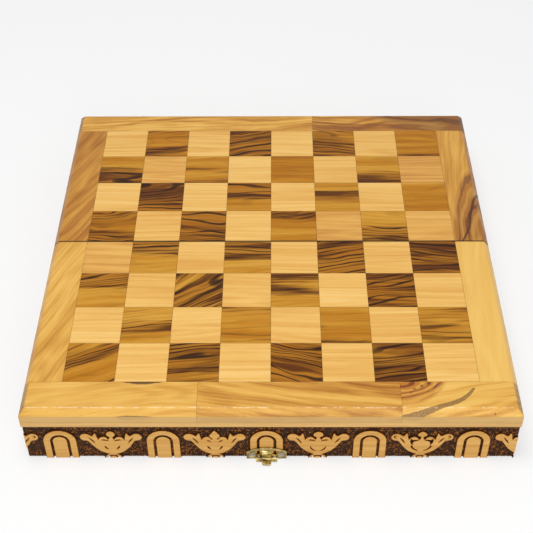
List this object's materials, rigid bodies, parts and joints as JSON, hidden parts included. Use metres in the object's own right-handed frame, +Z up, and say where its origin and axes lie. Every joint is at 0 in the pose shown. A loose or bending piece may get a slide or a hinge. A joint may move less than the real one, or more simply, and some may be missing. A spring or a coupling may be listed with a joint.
{
  "type": "folding_chess_box",
  "caption": "Folding wooden chess box lying open as a board: pale and dark olive wood squares, carved light-on-dark walls, brass hinges and a small brass clasp",
  "frame": {"origin": "on the plane of the rims, under the seam, in the middle of the box's width; the hinge knuckles reach 1.4 mm lower", "axes": "X to the right along the seam, Y away from the clasp, Z up, with the board open and its squares on top"},
  "size_m": [0.3, 0.3076, 0.0464],
  "materials": {
    "pale_wood": "satin varnish",
    "olive_wood": "satin varnish",
    "border_wood": "satin varnish",
    "carved_wood": "varnished relief on a dark stained, punched ground",
    "plain_wood": "varnish",
    "brass": "polished",
    "steel": "plated"
  },
  "bodies": {
    "front_half": {"front_wall": "carved_wood", "front_left_wall": "carved_wood", "front_right_wall": "carved_wood", "front_seam_wall": "plain_wood", "front_panel": "plain_wood", "front_left_board": "border_wood", "front_middle_board": "border_wood", "front_right_board": "border_wood", "front_left_border": "border_wood", "front_right_border": "border_wood", "front_light_squares": "pale_wood", "front_dark_squares": "olive_wood", "left_hinge_front_leaf": "brass", "right_hinge_front_leaf": "brass", "left_hinge_pin": "brass", "right_hinge_pin": "brass", "front_hinge_screws": "steel", "clasp_plate": "brass", "clasp_pin": "brass", "clasp_screws": "steel"},
    "rear_half": {"rear_wall": "carved_wood", "rear_left_wall": "carved_wood", "rear_right_wall": "carved_wood", "rear_seam_wall": "plain_wood", "rear_panel": "plain_wood", "rear_left_board": "border_wood", "rear_right_board": "border_wood", "rear_left_border": "border_wood", "rear_right_border": "border_wood", "rear_light_squares": "pale_wood", "rear_dark_squares": "olive_wood", "left_hinge_rear_leaf": "brass", "right_hinge_rear_leaf": "brass", "rear_hinge_screws": "steel", "keeper_plate": "brass", "keeper_stud": "brass", "keeper_screws": "steel"},
    "hasp": {"clasp_hasp": "brass"}
  },
  "joints": [
    {"name": "fold", "type": "hinge", "parent": "front_half", "child": "rear_half", "pos_m": [0, 0, -0.0001], "axis": [-1, 0, 0], "range_deg": [0, 180]},
    {"name": "hasp_swing", "type": "hinge", "parent": "front_half", "child": "hasp", "pos_m": [-0.0026, -0.15135, 0.00135], "axis": [1, 0, 0], "range_deg": [-65, 90]}
  ]
}
